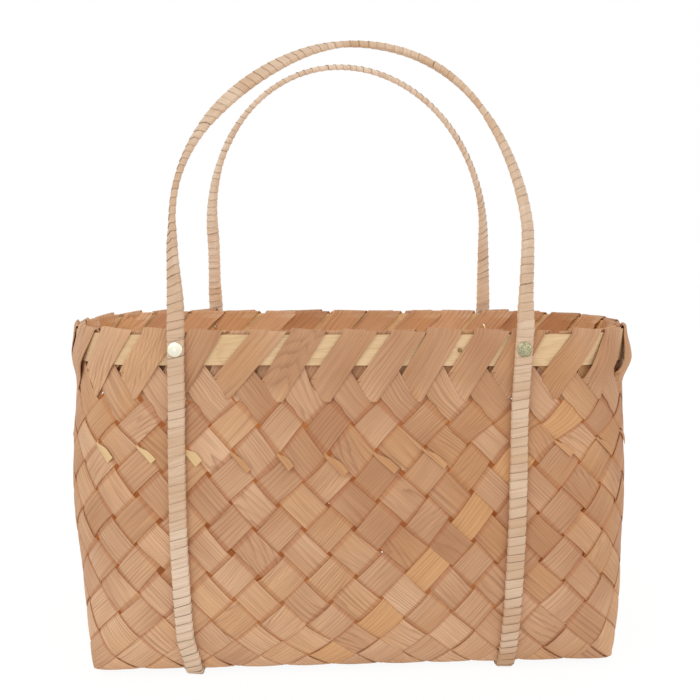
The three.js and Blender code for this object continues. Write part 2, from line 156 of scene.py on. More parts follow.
# Plaited splints: thin flat shavings of a pinkish wood, sixteen each way. They cross on the diagonal
# under the base, bend up at its edges, and cross again up the walls. At the rim, every end folds over
# a band, on each wall one way's ends outwards and the other's inwards, and is tucked under the weave.
STEP = 0.019
BASE_DEPTH = 0.190
RIM_DEPTH = 0.182
LENGTHS = (0.418, 0.488, 0.484, 0.180, 2.6)
DEPTHS = (BASE_DEPTH, 0.222, RIM_DEPTH, 0.092, 3)
CORNER_RADII = (0.001, 0.088, 0.080, 0.092, 2)
BASE_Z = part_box("woven_body")[0][2]
BAND_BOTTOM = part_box("outer_rim_band")[0][2]
BAND_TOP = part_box("outer_rim_band")[1][2]
NECK = BAND_BOTTOM - 0.001 - BASE_Z
BASE_TURN = math.radians(2.2)
END_SWELL = 0.005
FIRST_ROWS_LOSS = 0.014
STEEP_ROW = 12
STEEPNESS = 1.575
RIM_ROW = 13.86
SAG_MIDDLE = 9.5
SAG = 0.0049
LEFT_RISE = 0.0045
RIGHT_RISE = 0.0078
SPLINT_WIDTH = 0.0230
WIDEST_HALF = 0.67
BASE_HALF = 0.63
MIDDLE_DEPTH = 0.0011
LONG = 22
DEEP = 10
FAR_CORNER = 2 * LONG + DEEP
ROUND = 2 * (LONG + DEEP)
RIM_STEP = 0.01867
BASE_FILLET = 0.25
FOLD_RADIUS = 0.0017
QUARTER_FOLD = math.pi / 2 * FOLD_RADIUS
FALLS = ([QUARTER_FOLD * (part / 5 - 1) for part in range(1, 6)] + [part * 0.004 for part in range(1, 6)]
         + [0.0228 + part * 0.0024 for part in range(14)])
CREST_SLOPE = 0.0028
INNER_GAPE = 0.0032
OUT, IN = 1, -1
FLAP_DEPTH = {OUT: 0.0029, IN: -0.0047}
END_DEPTH = {OUT: -0.0005, IN: -0.0017}
TIP_DEPTH = {OUT: 0.0007, IN: -0.0029}
INNER_BREADTH = 1.22
INNER_CURVE = 0.007
TIP_DROP = 0.053
COLUMNS = 6
FLAP_MOVES = {15: (-5, -3), 17: (-5, -3), 19: (-7, -3), 21: (7, -3), 23: (1, 3), 25: (5, 4), 27: (7, 4),
              29: (-2, 2), 31: (-1, 0), 33: (-9, -3)}
TUCK = 0.0015 / RIM_STEP
TUCK_FROM = 0.0225
BOWED = {9: 0.002, 11: 0.0025, 13: 0.002, 37: 0.002, 39: 0.0045, 41: 0.003}
HONEY_SPLINT = (1, 9)
BAG_HEART = Vector((0, 0, 0.15))
luck = random.Random(11)


def mix(a, b, share):
    return a + (b - a) * share


def smooth(share):
    share = min(max(share, 0), 1)
    return share * share * (3 - 2 * share)


def outline_at(height):
    """The wall's length, depth and corner radius at a height above the base. Each one's row of numbers is
    its size at the base, the belly and the rim, the belly's height, and how fast it swells."""
    sizes = []
    for base, belly, rim, belly_height, power in (LENGTHS, DEPTHS, CORNER_RADII):
        if height <= belly_height:
            sizes.append(mix(base, belly, 1 - (1 - max(height, 0) / belly_height) ** power))
        else:
            sizes.append(mix(belly, rim, smooth((height - belly_height) / (NECK - belly_height))))
    return sizes


def round_at(height):
    """The way round the wall at a height."""
    length, depth, radius = outline_at(height)
    return 2 * (length + depth) - (8 - 2 * math.pi) * radius


def settle(place):
    """The bag's base sits turned a little against its rim, and its right end bulges lower than its left."""
    turn = BASE_TURN * (1 - min(max((place.z - BASE_Z) / NECK, 0), 1))
    if place.x > 0 and BASE_Z < place.z < BAND_BOTTOM:
        swell = END_SWELL * math.sin(2 * math.pi * ((place.z - BASE_Z) / NECK) ** 0.75)
        place = place + Vector((max(swell, swell * 0.4) * (place.x / 0.24) ** 3, 0, 0))
    return Vector((place.x * math.cos(turn) - place.y * math.sin(turn),
                   place.x * math.sin(turn) + place.y * math.cos(turn), place.z))


def wall_point(height, steps, out):
    """A place on the wall, at a height above the base and a number of half crossings round from the
    corner at the front left, anticlockwise seen from above, and so far out of the wall's outer face."""
    length, depth, radius = outline_at(height)
    share = (steps - LONG / 2) / ROUND % 1
    side_x = 1 if share <= 0.5 else -1
    from_front = min(share, 1 - share)
    side_y = -1 if from_front <= 0.25 else 1
    way = min(from_front, 0.5 - from_front) * round_at(height)
    straight = length / 2 - radius
    side = depth / 2 - radius
    arc = math.pi / 2 * radius
    if way <= straight:
        x, y, nx, ny = way, depth / 2, 0, 1
    elif way <= straight + arc:
        angle = (way - straight) / radius
        nx, ny = math.sin(angle), math.cos(angle)
        x, y = straight + radius * nx, side + radius * ny
    else:
        x, y, nx, ny = length / 2, side + straight + arc - way, 1, 0
    return settle(Vector((side_x * (x + nx * out), side_y * (y + ny * out), BASE_Z + height)))


def row_height(row):
    """Height above the base of a row of crossings. The first rows bend in towards the base, and above
    the last full row the ends rise more steeply to the rim."""
    if row > STEEP_ROW:
        row = STEEP_ROW + (row - STEEP_ROW) * STEEPNESS
    return STEP * row - FIRST_ROWS_LOSS * (1 - math.exp(-row / 1.6))


def drawn_point(row, steps, out):
    """A spot of the wall as plaited by hand: the rows of crossings sag in the middle of the front and
    rise to its ends, and the crossings lie closer near the right end."""
    before = ROUND / 2 - SAG_MIDDLE
    spot = (steps + before) % ROUND - before
    away = abs(spot - SAG_MIDDLE)
    hold = smooth(row / 3) * smooth((11.4 - row) / 2)
    high = RIGHT_RISE if spot > SAG_MIDDLE else LEFT_RISE
    rise = mix(-SAG, high, smooth(away / 9)) * (1 - smooth((away - 13) / 9))
    along = 0.25 * smooth((9 - spot) / 8) * smooth((spot + 10) / 9)
    along -= 0.5 * smooth((spot - 14) / 5.5) * smooth((32 - spot) / 10)
    return wall_point(row_height(row) + hold * rise, steps + hold * along, out)


def half_width(row):
    """Half a splint's width, in half crossings, where it is that many rows up its wall."""
    if row < 0:
        return mix(BASE_HALF, WIDEST_HALF, smooth(row + 1))
    across = round_at(row_height(row)) / ROUND
    up = (row_height(row + 0.05) - row_height(row)) / 0.05
    return min(WIDEST_HALF, SPLINT_WIDTH / 2 * math.hypot(across, up) / (math.sqrt(2) * across * up))


def unfold(way, i, j):
    """Where a spot of the flat lattice lies: rows up its wall, half crossings round, and the side of the
    base that it leaves by. Below row 0 it is under the base. The splints of one way leave the base over
    other edges than those of the other way."""
    front, right = (-j, i, 0), (i - LONG, LONG + j, 1)
    back, left = (j - DEEP, FAR_CORNER - i, 2), (-i, ROUND - j, 3)
    if way == 0:
        return max(front if i - j > 0 else left, right if i - j > LONG - DEEP else back)
    return max(front if i + j < LONG else right, left if i + j < DEEP else back)


def course_ends(way, course):
    """The two ends of a splint, each as the side of the base that it leaves by, where along its length
    it does so, and how many half crossings round the bag it would stand if it went straight up."""
    if way == 0:
        far_key = 2 * LONG - course
        return ((0, course, course) if course > 0 else (3, 0, ROUND + course),
                (1, LONG, far_key) if course > LONG - DEEP else (2, course + DEEP, far_key))
    return ((3, 0, ROUND - course) if course < DEEP else (2, course - DEEP, ROUND - course),
            (0, course, course) if course < LONG else (1, LONG, course))


def fold_turn(way, side):
    """Whether a splint's end folds outwards or inwards, where it leaves the base by a side."""
    return OUT if (side % 2 == 0) == (way == 0) else IN


def base_point(i, j):
    return settle(Vector(((i - LONG / 2) * STEP, (j - DEEP / 2) * STEP, BASE_Z + MIDDLE_DEPTH)))


def lattice_point(way, i, j, out):
    """The place in the bag of a spot of the flat lattice: under the base, round its edge, or up a wall."""
    row, steps, side = unfold(way, i, j)
    if row < -BASE_FILLET:
        return base_point(i, j)
    if row > BASE_FILLET:
        return drawn_point(row, steps, out)
    inside, edge = [((steps, depth), (LONG - depth, steps - LONG), (FAR_CORNER - steps, DEEP - depth),
                     (depth, ROUND - steps))[side] for depth in (BASE_FILLET, 0)]
    share = (row + BASE_FILLET) / (2 * BASE_FILLET)
    above = wall_point(row_height(BASE_FILLET), steps, -MIDDLE_DEPTH)
    return (base_point(*inside) * (1 - share) ** 2 + base_point(*edge) * 2 * share * (1 - share)
            + above * share ** 2)


def end_depth(row, steps, centre, turn):
    """How far out of the wall's face the middle of an end lies. It moves to its band above the last full
    row, and where the next fold is tucked under it, its edge stands off the wall."""
    depth = mix(-MIDDLE_DEPTH, END_DEPTH[turn], smooth((row - 12.5) / 0.8))
    gape = smooth((row - 11.9) / 0.5) * smooth((13.15 - row) / 0.35)
    return depth + turn * 0.0015 * gape * smooth(turn * (steps - centre) / 0.8)


def end_share(row):
    """How much of an end's own move round the bag it has made at a row."""
    return smooth((row - STEEP_ROW) / (RIM_ROW - STEEP_ROW))


def row_at(height):
    """The row of crossings at a height near the rim."""
    return STEEP_ROW + ((height + FIRST_ROWS_LOSS) / STEP - STEEP_ROW) / STEEPNESS


def tuck_line(row, centre, turn, neighbour_move):
    """Where, round the bag, that edge of the second splint on lies under which a folded end is tucked."""
    move = neighbour_move * end_share(row)
    return centre - turn * (4 + row - RIM_ROW) + move + turn * math.sqrt(2) * half_width(row)


def flap_point(drop, steps, centre, turn, neighbour_move, crest, bow=0.0):
    """A spot of a folded end, so far along it below the top of the fold. Crests rise to one side. Folds
    inside stand off the band on one side, and each end's tip is tucked under its neighbour."""
    reach = (FLAP_DEPTH[turn] - END_DEPTH[turn]) / 2
    angle = min(max(drop, -QUARTER_FOLD), QUARTER_FOLD) / FOLD_RADIUS
    out = END_DEPTH[turn] + reach + reach * math.sin(angle)
    hind = min(max(0.5 + (centre - steps) / 1.5, 0), 1)
    if turn == OUT:
        crest += hind * CREST_SLOPE * (1 if centre < LONG + 1 else 0.4)
    else:
        crest += (1 - hind) * CREST_SLOPE / 4
    height = BAND_TOP - BASE_Z + (FOLD_RADIUS + crest) * math.cos(angle)
    if drop > QUARTER_FOLD:
        fallen = drop - QUARTER_FOLD
        height = BAND_TOP - BASE_Z - fallen
        if turn == IN:
            gape = smooth(0.5 + min((centre - steps) / 1.5 - fallen * 14, 1))
            out -= INNER_GAPE * gape * smooth((0.034 - fallen) / 0.02) * smooth(fallen / 0.004)
        under = turn * (tuck_line(row_at(height), centre, turn, neighbour_move) - steps) * RIM_STEP
        out = mix(out, TIP_DEPTH[turn], smooth((fallen - 0.025) / 0.018))
        tucked = smooth((under + 0.0009) / 0.002) * smooth((fallen - TUCK_FROM) / 0.004)
        out = mix(out, turn * 0.0002 - MIDDLE_DEPTH, tucked)
        out += bow * math.sin(math.pi * min(fallen / 0.05, 1)) ** 2
    return wall_point(height, steps, out)


def weave_lift(row, turn, swing):
    """How far a splint stands out at a row, in its own rises, and how much it is crowned there. It swings
    over and under what it crosses, more so near the base, and lies against its band at the rim."""
    plateau = max(-1, min(1, 3 * swing))
    lift = plateau * (1.5 - 0.5 * plateau ** 2) + 0.35 * swing
    if row > STEEP_ROW:
        lift = mix(-1.3, 1.3, smooth((row - 12.3) / 0.4)) * (1 - smooth((row - 12.95) / 0.4))
        if turn == OUT:
            lift = 1.3 * (1 - smooth((row - 12.5) / 0.8))
        return lift, smooth((RIM_ROW - row) / 0.6)
    if -1 < row < 2.2:
        lift *= 1 + 0.7 * (1 - max(row, 0) / 2.2) * smooth(row + 1)
    return lift, 1


def splint_rows(way, course, ends, moves):
    """The rows of points across one splint from end to end: (place, lift, bulge, along, across, steps)."""
    first, last = ends[0][1] - RIM_ROW, ends[1][1] + RIM_ROW
    wander = [luck.uniform(0, 6.3) for _ in range(3)]
    breadth = luck.uniform(0.97, 1.03)
    crests = {side: luck.uniform(0, 0.0013) for side, _, _ in ends}
    stations = [whole + part for whole in range(-16, 50) for part in
                (0, 0.2, 0.34, 0.42, 0.47, 0.53, 0.58, 0.66, 0.8) if first < whole + part < last]
    for end, inward in ((first, 1), (last, -1)):
        stations = [n for n in stations if abs(n - end) > 0.14]
        stations += [end + inward * part for part in (0, 0.018, 0.036, 0.054, 0.072, 0.09, 0.12)]
    rows = []
    for n in sorted(stations):
        row, centre, side = unfold(way, n, n - course if way == 0 else course - n)
        turn = fold_turn(way, side)
        shear = smooth((row - 11.6) / 1.3) * (1 if side % 2 == 0 else -1)
        move = moves[side][0] * end_share(row) if side in moves else 0
        lift, bulge = weave_lift(row, turn, math.cos(math.pi * n) * (-1 if way == 0 else 1))
        sway = 0.05 * math.sin(0.85 * n + wander[0]) + 0.03 * math.sin(2.1 * n + wander[1])
        width = breadth if turn == OUT else mix(breadth, INNER_BREADTH, smooth((row - 12.1) / 1.1))
        points = []
        for column in range(COLUMNS + 1):
            across = (2 * column / COLUMNS - 1) * half_width(row) * width
            across += sway * smooth((RIM_ROW - row) / 2)
            slant = across / math.sqrt(2)
            along = n + shear * slant
            i = along + slant
            j = along - course - slant if way == 0 else course - along + slant
            spot_row, steps, _ = unfold(way, i, j)
            steps += move
            height = row_height(spot_row)
            above = height + BASE_Z - BAND_TOP
            if spot_row <= STEEP_ROW - 0.3:
                place = lattice_point(way, i, j, -MIDDLE_DEPTH)
            elif above > 0:
                place = flap_point(above - QUARTER_FOLD, steps, centre, turn, 0, crests[side])
            else:
                place = wall_point(height, steps, end_depth(spot_row, steps, centre + move, turn))
            points.append((place, lift, bulge, along * math.sqrt(2) * STEP, across * STEP, steps))
        rows.append(points)
    for (side, _, _), top, outwards in ((ends[0], rows[0], -1), (ends[1], rows[-1], 1)):
        turn = fold_turn(way, side)
        move, tip_move, neighbour_move = moves[side]
        centre = (top[0][5] + top[-1][5]) / 2 - move
        bow = BOWED.get(round(centre + RIM_ROW) % ROUND, 0) if turn == OUT else 0
        leading = max(turn * top[0][5], turn * top[-1][5]) * turn
        tip = centre - turn * (15 - RIM_ROW) + tip_move
        lean = turn * (leading - tip) / TIP_DROP
        for fallen in FALLS:
            drop = fallen + QUARTER_FOLD
            curve = 0 if turn == OUT else INNER_CURVE * math.sin(math.pi * min(drop / 0.05, 1))
            spots = [point[5] - turn * lean * (drop + curve) for point in top]
            cut = spots
            row = row_at(BAND_TOP - BASE_Z - fallen)
            hidden = turn * tuck_line(row, centre, turn, neighbour_move) - TUCK
            if fallen > TUCK_FROM and min(turn * spots[0], turn * spots[-1]) < hidden:
                room = max(turn * spots[0], turn * spots[-1]) - hidden
                if room < 0.05:
                    break
                under = min(room / 2, TUCK * 1.6)
                cut = [turn * hidden] + [turn * (hidden + mix(under, room, k / (COLUMNS - 1)))
                                         for k in range(COLUMNS)]
                if turn * spots[0] > turn * spots[-1]:
                    cut.reverse()
            points = []
            for point, spot in zip(top, cut):
                across = mix(top[0][4], top[-1][4], (spot - spots[0]) / (spots[-1] - spots[0]))
                along = point[3] + outwards * drop * 1.2
                place = flap_point(drop, spot, centre, turn, neighbour_move, crests[side], bow)
                points.append((place, 0, -smooth(drop / 0.006), along, across, spot))
            rows = [points] + rows if outwards < 0 else rows + [points]
    return rows


def grain_mesh(name, places, faces, seed, tones, spots, **values):
    """A mesh with a seed and tones for its wood, more values for its nodes, and the place of each point
    along and across the grain."""
    mesh = bpy.data.meshes.new(name)
    mesh.from_pydata(places, [], faces)
    values.update(seed=[seed] * len(places), tone=tones)
    for key, data in values.items():
        mesh.attributes.new(key, "FLOAT", "POINT").data.foreach_set("value", data)
    grain = mesh.uv_layers.new(name="grain")
    grain.data.foreach_set("uv", [value for loop in mesh.loops for value in spots[loop.vertex_index]])
    return mesh


def sheet_mesh(name, rows, seed, tones):
    """A one-sided sheet through rows of points, its faces outwards, with what its nodes and wood read."""
    columns = len(rows[0])
    count = len(rows)
    points = [point for row in rows for point in row]
    places = [point[0] for point in points]
    normals = []
    for k in range(count):
        for c in range(columns):
            ahead = places[min(k + 1, count - 1) * columns + c] - places[max(k - 1, 0) * columns + c]
            aside = places[k * columns + min(c + 1, columns - 1)] - places[k * columns + max(c - 1, 0)]
            normals.append(ahead.cross(aside).normalized())
    middle = (count // 2) * columns + columns // 2
    flip = normals[middle].dot(places[middle] - BAG_HEART) < 0
    if flip:
        normals = [-normal for normal in normals]
    faces = []
    for k in range(count - 1):
        for c in range(columns - 1):
            a = k * columns + c
            corner = (a, a + columns, a + columns + 1, a + 1)
            faces.append(corner[::-1] if flip else corner)
    mesh = grain_mesh(name, places, faces, seed, [tone for tone in tones for _ in range(columns)],
                      [point[3:5] for point in points], lift=[point[1] for point in points],
                      bulge=[point[2] for point in points],
                      from_middle=[2 * c / (columns - 1) - 1 for _ in rows for c in range(columns)])
    shell = mesh.attributes.new("away", "FLOAT_VECTOR", "POINT")
    shell.data.foreach_set("vector", [value for normal in normals for value in normal])
    return mesh


class Signal:
    """A value in a node tree that adds and multiplies like a number."""

    def __init__(self, tree, socket):
        self.tree = tree
        self.socket = socket

    def through(self, kind, settings, inputs, output=0):
        """What a node of the same tree makes of its inputs."""
        return Signal(self.tree, add_node(self.tree, kind, settings, inputs).outputs[output])

    def math(self, operation, *others):
        return self.through("ShaderNodeMath", {"operation": operation}, enumerate((self, *others)))

    def __add__(self, other):
        return self.math("ADD", other)

    def __sub__(self, other):
        return self.math("SUBTRACT", other)

    def __rsub__(self, other):
        return self * -1 + other

    def __mul__(self, other):
        return self.math("MULTIPLY", other)

    def ramp(self, low, high):
        """A soft climb from 0, below a low value, to 1, above a high one."""
        return self.through("ShaderNodeMapRange", {"interpolation_type": "SMOOTHSTEP"},
                            {"Value": self, "From Min": low, "From Max": high})

    def noise(self, other, third, detail=2, rough=0.5):
        """Noise over this value, another and a third."""
        spot = self.through("ShaderNodeCombineXYZ", (), enumerate((self, other, third)))
        return self.through("ShaderNodeTexNoise", (),
                            {"Vector": spot, "Scale": 1, "Detail": detail, "Roughness": rough})

    def blend(self, first, second):
        """A colour between two, by this value; each is a colour or another blend."""
        return self.through("ShaderNodeMix", {"data_type": "RGBA"}, {0: self, 6: first, 7: second}, 2)


def shaving_tree():
    """Geometry nodes that turn a one-sided sheet into a shaving of wood: it is lifted over and under
    what it crosses, crowned across its width, made a little uneven, and given its thickness."""
    tree = bpy.data.node_groups.new("shaved_splint", "GeometryNodeTree")
    new_socket = tree.interface.new_socket
    new_socket("Geometry", in_out="INPUT", socket_type="NodeSocketGeometry")
    for key, value in (("Rise", 0.00052), ("Crown", 0.0003), ("Unevenness", 0.0003), ("Thickness", 0.0007),
                       ("Grain size", 60.0), ("Seed", 0.0)):
        new_socket(key, in_out="INPUT", socket_type="NodeSocketFloat").default_value = value
    new_socket("Wood", in_out="INPUT", socket_type="NodeSocketMaterial")
    new_socket("Geometry", in_out="OUTPUT", socket_type="NodeSocketGeometry")
    given = add_node(tree, "NodeGroupInput").outputs

    def named(key, kind="FLOAT"):
        return Signal(tree, add_node(tree, "GeometryNodeInputNamedAttribute", {"data_type": kind},
                                     {"Name": key}).outputs[0])

    def moved(shape, factor, **inputs):
        """A shape moved along its own outward direction by a factor."""
        away = named("away", "FLOAT_VECTOR")
        offset = away.through("ShaderNodeVectorMath", {"operation": "SCALE"}, {0: away, "Scale": factor})
        return add_node(tree, "GeometryNodeSetPosition",
                        inputs={"Geometry": shape, "Offset": offset, **inputs}).outputs[0]

    from_middle = named("from_middle")
    noise = add_node(tree, "ShaderNodeTexNoise", {"noise_dimensions": "4D"},
                     {"W": given["Seed"], "Scale": given["Grain size"]})
    ripple = Signal(tree, noise.outputs[0]) - 0.5
    crown = named("bulge") * (1 - from_middle * from_middle)
    rise = named("lift") * given["Rise"] + crown * given["Crown"] + ripple * given["Unevenness"]
    inner = moved(given["Geometry"], rise - Signal(tree, given["Thickness"]) * 0.5)
    thicken = add_node(tree, "GeometryNodeExtrudeMesh",
                       inputs={"Mesh": inner, "Individual": False, "Offset Scale": 0}).outputs
    outer = moved(thicken["Mesh"], given["Thickness"], Selection=thicken["Top"])
    under = add_node(tree, "GeometryNodeFlipFaces", inputs={"Mesh": inner})
    both = add_node(tree, "GeometryNodeJoinGeometry", inputs={0: under.outputs[0]})
    feed(both, {0: outer})
    weld = add_node(tree, "GeometryNodeMergeByDistance",
                    inputs={"Geometry": both.outputs[0], "Distance": 0.00002})
    real = add_node(tree, "GeometryNodeRealizeInstances", inputs={0: weld.outputs[0]})
    dress = add_node(tree, "GeometryNodeSetMaterial",
                     inputs={"Geometry": real.outputs[0], "Material": given["Wood"]})
    add_node(tree, "NodeGroupOutput", inputs={0: dress.outputs[0]})
    return tree


def grow(name, mesh, tree, settings):
    """The finished piece that a node tree makes of a mesh."""
    seedling = add_object(name, mesh)
    modifier = seedling.modifiers.new("form", "NODES")
    modifier.node_group = tree
    for item in tree.interface.items_tree:
        if item.in_out == "INPUT" and item.name in settings:
            modifier[item.identifier] = settings[item.name]
    bpy.context.view_layer.update()
    evaluated = seedling.evaluated_get(bpy.context.evaluated_depsgraph_get())
    final = bpy.data.meshes.new_from_object(evaluated)
    seedling.modifiers.clear()
    seedling.data = final
    final.name = name
    return seedling


def tint(red, green, blue):
    """A colour as a picture gives it, for a shader."""
    return tuple((value / 255 / 12.92 if value <= 10 else ((value / 255 + 0.055) / 1.055) ** 2.4)
                 for value in (red, green, blue)) + (1,)


def new_paint(name, kind, settings=(), output=0):
    """A new material: itself, its tree, and the parts of the place that a node of a kind gives."""
    paint = bpy.data.materials.new(name)
    paint.use_nodes = True
    tree = paint.node_tree
    place = add_node(tree, kind, settings).outputs[output]
    parts = add_node(tree, "ShaderNodeSeparateXYZ", inputs={0: place}).outputs
    return paint, tree, [Signal(tree, part) for part in parts]


def finish_paint(tree, relief, depth, inputs):
    """Feed a material's surface, and give it a relief of some depth."""
    bump = add_node(tree, "ShaderNodeBump", inputs={"Strength": 0.3, "Distance": depth, "Height": relief})
    feed(tree.nodes["Principled BSDF"], {**inputs, "Normal": bump.outputs[0]})


def wood(name, pale, deep, vein, fibre_gap, ring_gap, ring_share, roughness, seam=0.0, warmth=0.0):
    """Shaved wood along a piece's own grain: fine fibres, growth rings cut as stripes or as arches, and
    a slow drift of colour. Each piece's seed and tone come from its mesh. A seam is the half width at
    which a wound ribbon's upper edge is painted dark: painted shade along the seams between turns.
    Wood with warmth has warmer patches, and painted shade where it dips under what it crosses."""
    paint, tree, (along, across, _) = new_paint(name, "ShaderNodeUVMap", {"uv_map": "grain"})
    pale, deep, vein = tint(*pale), tint(*deep), tint(*vein)
    seed, tone, lift, bulge = [Signal(tree, add_node(tree, "ShaderNodeAttribute", {"attribute_name": key})
                                      .outputs["Fac"]) for key in ("seed", "tone", "lift", "bulge")]
    fibres = (along * 25).noise(across * (1 / fibre_gap), seed * 17, detail=3, rough=0.65)
    drift = (along * 11).noise(across * 16, seed * 31, detail=1)
    arch = (along * 8).noise(across * 30, seed * 53, detail=0)
    warp = (along * 12).noise(across * 130, seed * 71)
    closeness = (seed * 13).noise(seed * 29, seed * 3, detail=0).ramp(0.35, 0.65) * 0.5 + 0.35
    figured = (along * 3).noise(seed * 91, seed * 37, detail=0).ramp(0.4, 0.6)
    rings = across * (1 / ring_gap) * closeness + arch * (figured * 9 + 2) + warp * 2.3 + seed * 5
    ring = rings.math("FRACT")
    late = ring.ramp(0.4, 0.92) * (1 - ring.ramp(0.92, 1.0))
    strength = (along * 16).noise(across * 90, seed * 5, detail=1).ramp(0.32, 0.68) * 0.85 + 0.15
    base = (tone + (drift - 0.5) * 1.5).math("MINIMUM", 1.0).math("MAXIMUM", 0.0).blend(pale, deep)
    if warmth:
        # Painted shade: blended towards an orange brown where the splint dips under what it crosses, on the
        # weave only.
        painted_dip_shade = (1 - lift.ramp(0.2, 1.1)) * bulge.ramp(0.0, 1.0)
        base = (painted_dip_shade * 0.5).blend(base, tint(184, 112, 66))
        warm = (along * 9).noise(across * 10, seed * 23, detail=1).ramp(0.45, 0.65)
        base = (warm * warmth).blend(base, tint(226, 172, 112))
    base = ((fibres - 0.4) * 1.5).math("MAXIMUM", 0.0).math("MINIMUM", 0.34).blend(base, vein)
    base = (late * strength * ring_share).blend(base, vein)
    if seam:
        # Painted shade along the seams: a thin dark line at each wound ribbon's upper edge, patchy in
        # strength along it.
        patchy = (along * 22).noise(seed * 11, seed * 7).ramp(0.35, 0.7) * 0.75 + 0.12
        base = ((across * -1).ramp(seam * 0.84, seam) * patchy).blend(base, tint(112, 82, 64))
    finish_paint(tree, fibres - late * 0.25, 0.00016,
                 {"Base Color": base, "Roughness": fibres * 0.16 + (roughness - 0.08),
                  "Specular IOR Level": 0.32})
    return paint


shaving = shaving_tree()
splint_wood = wood("splint_wood", (238, 196, 158), (194, 143, 104), (152, 103, 76),
                   0.0006, 0.0019, 0.5, 0.62, warmth=0.3)
honey_wood = wood("honey_splint_wood", (230, 182, 132), (210, 156, 105), (172, 114, 72),
                  0.0006, 0.0024, 0.45, 0.62)
end_moves = {}
for key in range(1, ROUND, 2):
    moves = {OUT: FLAP_MOVES.get(key, (luck.uniform(-5, 5), luck.uniform(-3, 3))),
             IN: (luck.uniform(-4, 4), luck.uniform(-3, 3))}
    for turn, pair in moves.items():
        end_moves[turn, key] = [move / 1000 / RIM_STEP for move in pair]
for way, courses in enumerate((range(1 - DEEP, LONG, 2), range(1, LONG + DEEP, 2))):
    for number, course in enumerate(courses, 1):
        ends = course_ends(way, course)
        moves = {}
        for side, _, key in ends:
            turn = fold_turn(way, side)
            moves[side] = (*end_moves[turn, key], end_moves[turn, (key - 4 * turn - 1) % ROUND + 1][0])
        seed = luck.uniform(1, 9)
        tone = luck.betavariate(2, 2)
        rows = splint_rows(way, course, ends, moves)
        middles = [row[len(row) // 2][0] for row in rows]
        # Tone per row: the splint's own random tone, plus painted light and shade: darker towards the bag's
        # right end, paler towards its left end, and paler in the lowest rows.
        tones = [tone * 0.62 + 0.33 + 0.75 * place.x + 5 * min(place.z - 0.11, 0.012) for place in middles]
        # Each fold inside gets a random tone of its own, which is the wood's; it is paler on average, and
        # that paler bias is painted light on the inside of the bag.
        for (side, _, _), fold in zip(ends, (range(len(FALLS)), range(-1, -1 - len(FALLS), -1))):
            if fold_turn(way, side) == IN:
                shade = luck.uniform(-0.7, 0.35)
                for spot in fold:
                    tones[spot] += shade
        name = f"splint_{('left', 'right')[way]}_{number:02d}"
        surface = honey_wood if (way, course) == HONEY_SPLINT else splint_wood
        splint = grow(name, sheet_mesh(name, rows, seed, tones), shaving, {"Seed": seed, "Wood": surface})
        nodes = [f"splint_end_{(key - 23) // 2 % 32 + 1:02d}" for side, _, key in ends
                 if fold_turn(way, side) == OUT]
        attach(splint, "basket")
        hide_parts("woven_body", *nodes)


# Rim bands: two light laths bent round the neck, one outside and one inside the walls, between the wall
# and the folded ends. Each band's ends are thinned and lapped, the outer one near its little nail.
def bar_mesh(name, loops, seed, tone):
    """A closed bar through loops of (place, around) points, each loop with its place along the grain."""
    size = len(loops[0][0])
    places = [place for loop, along in loops for place, around in loop]
    spots = [(along, around) for loop, along in loops for place, around in loop]
    faces = tube_faces(size, len(loops))
    return face_outwards(grain_mesh(name, places, faces, seed, [tone] * len(places), spots))


def tube_faces(size, count):
    """The faces of a closed tube of a number of loops, each of a number of points."""
    faces = [tuple(reversed(range(size))), tuple(range((count - 1) * size, count * size))]
    for k in range(count - 1):
        for c in range(size):
            a, b = k * size + c, k * size + (c + 1) % size
            faces.append((a, b, b + size, a + size))
    return faces


def face_outwards(mesh):
    """A closed mesh with all its faces turned outwards."""
    mesh.update()
    start = mesh.vertices[0].co
    if sum((face.center - start).dot(face.normal) * face.area for face in mesh.polygons) < 0:
        mesh.flip_normals()
    return mesh


BAND_THICKNESS = 0.0014
THINNED = 0.0004
BAND_DEPTH = {OUT: 0.00035, IN: 0.00225}
LAP_STEPS = 1.93
LAP_STEP = 0.00035
EDGE_CUT = 0.00015
BAND_STATIONS = 420


def band_loops(start, turn):
    """Loops along one band, from the thinned end that lies against the wall, round the bag, to the end
    that laps over it."""
    head = BAND_DEPTH[turn]
    high = BAND_TOP - BASE_Z
    loops = []
    for k in range(BAND_STATIONS + 1):
        steps = start + (ROUND + LAP_STEPS) * k / BAND_STATIONS
        low = BAND_BOTTOM - BASE_Z + 0.0004 * math.sin(0.19 * steps + 1)
        near, far = head, head + mix(THINNED, BAND_THICKNESS, min((steps - start) / LAP_STEPS, 1))
        tail = steps - start - ROUND
        if tail > -0.6:
            under = mix(THINNED, BAND_THICKNESS, min(max(tail / LAP_STEPS, 0), 1))
            near = head + under * smooth((tail + 0.6) / 0.6) + 0.00004
            far = max(head + BAND_THICKNESS, near + LAP_STEP)
        ring = [(near + EDGE_CUT, low), (far - EDGE_CUT, low), (far, low + EDGE_CUT),
                (far, high - EDGE_CUT), (far - EDGE_CUT, high), (near + EDGE_CUT, high),
                (near, high - EDGE_CUT), (near, low + EDGE_CUT)]
        loop = [(wall_point(height, steps, turn * out), height + out) for out, height in ring]
        loops.append((loop, steps * RIM_STEP))
    return loops


lath_wood = wood("lath_wood", (240, 208, 164), (222, 184, 138), (190, 146, 100),
                 0.0005, 0.006, 0.25, 0.55)
for name, start, turn in (("outer_rim_band", 14.7, OUT), ("inner_rim_band", 40.2, IN)):
    band = add_object(name + "_lath", bar_mesh(name, band_loops(start, turn), 3.3 + turn, 0.35), lath_wood)
    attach(band, "basket")
    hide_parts(name)


